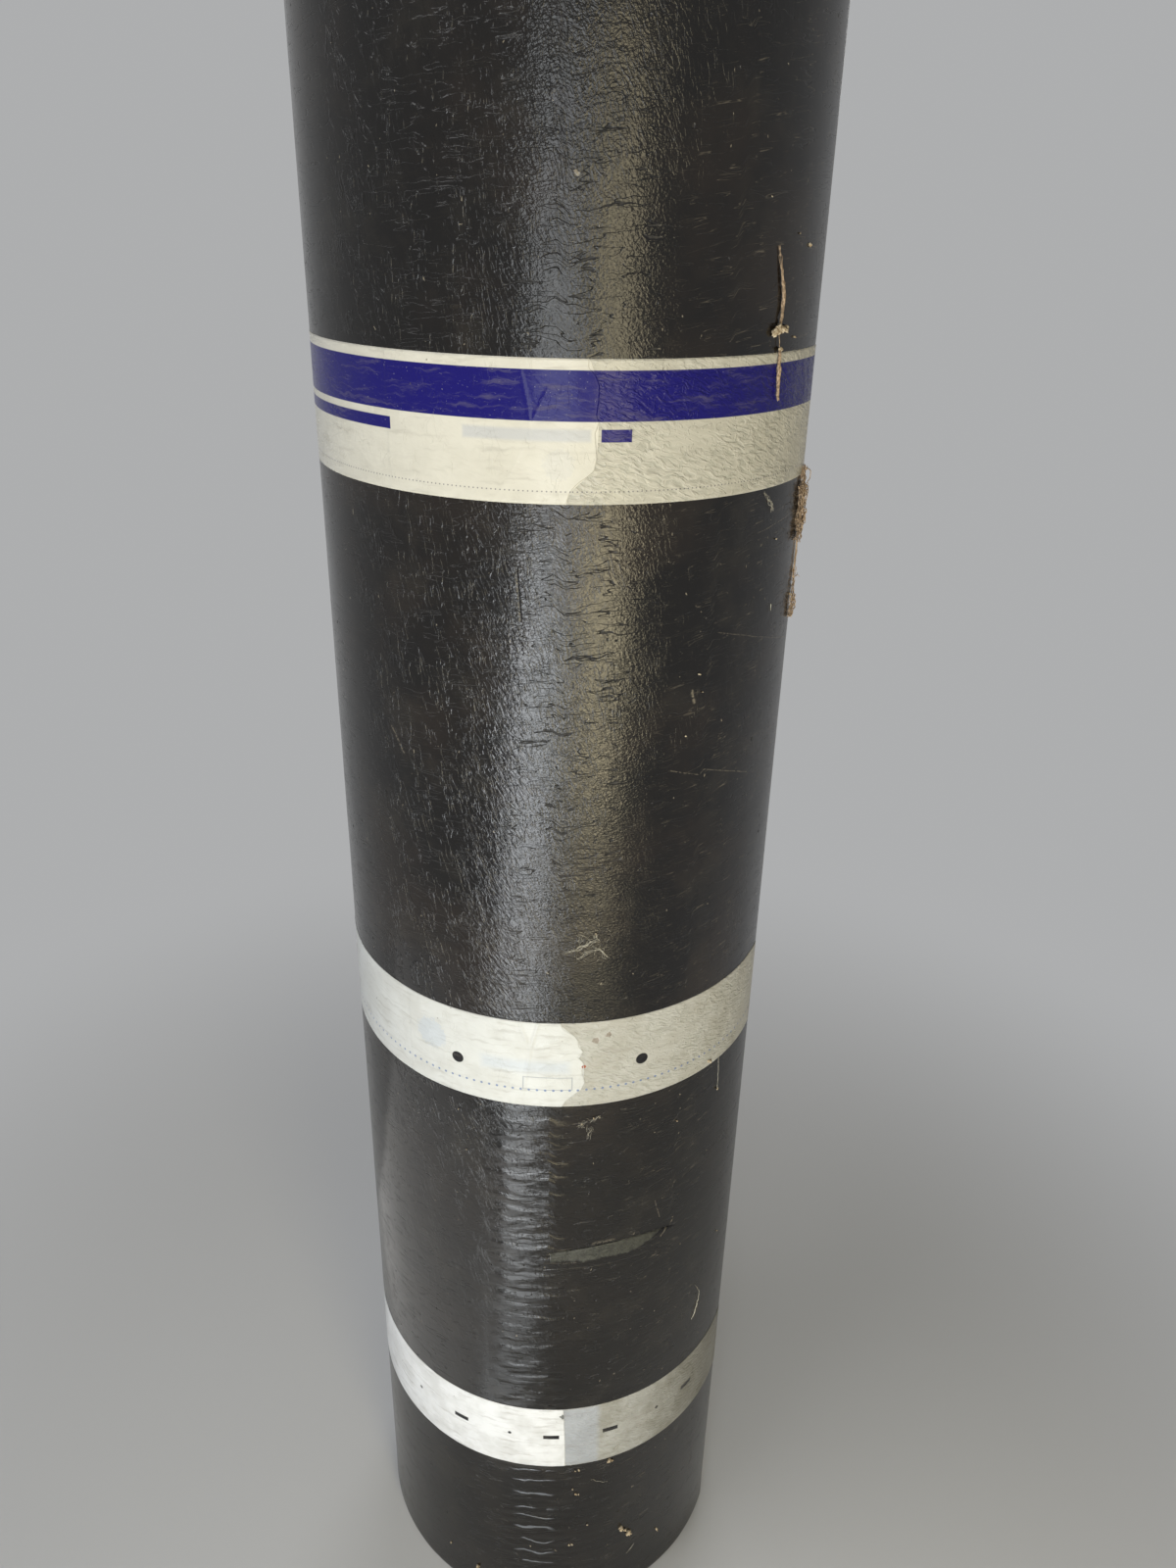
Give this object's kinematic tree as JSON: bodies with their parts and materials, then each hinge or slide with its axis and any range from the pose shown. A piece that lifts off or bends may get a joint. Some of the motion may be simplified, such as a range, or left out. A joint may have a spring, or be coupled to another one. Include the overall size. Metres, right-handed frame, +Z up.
{
  "type": "roll of roofing felt",
  "caption": "Coreless roll of black bitumen roofing felt standing on its end, its turns showing at both ends, held shut by bands of packing tape.",
  "frame": {"origin": "on the floor at the middle of the roll's base, on the axis of the roll", "axes": "+Z up along the roll, -Y its front, where the tape ends are, +X its right, with the sheet's outer end 21 degrees in front of it"},
  "size_m": [0.2094, 0.2121, 1],
  "materials": {
    "felt": "black bitumen under a thin wrinkled burn-off film, satin to glossy",
    "tape": "glossy printed packing tape, white with a blue stripe on the upper band"
  },
  "bodies": {
    "root": {"felt_roll": "felt", "tape_band_lower": "tape", "tape_band_middle": "tape", "tape_band_upper": "tape"}
  },
  "joints": []
}
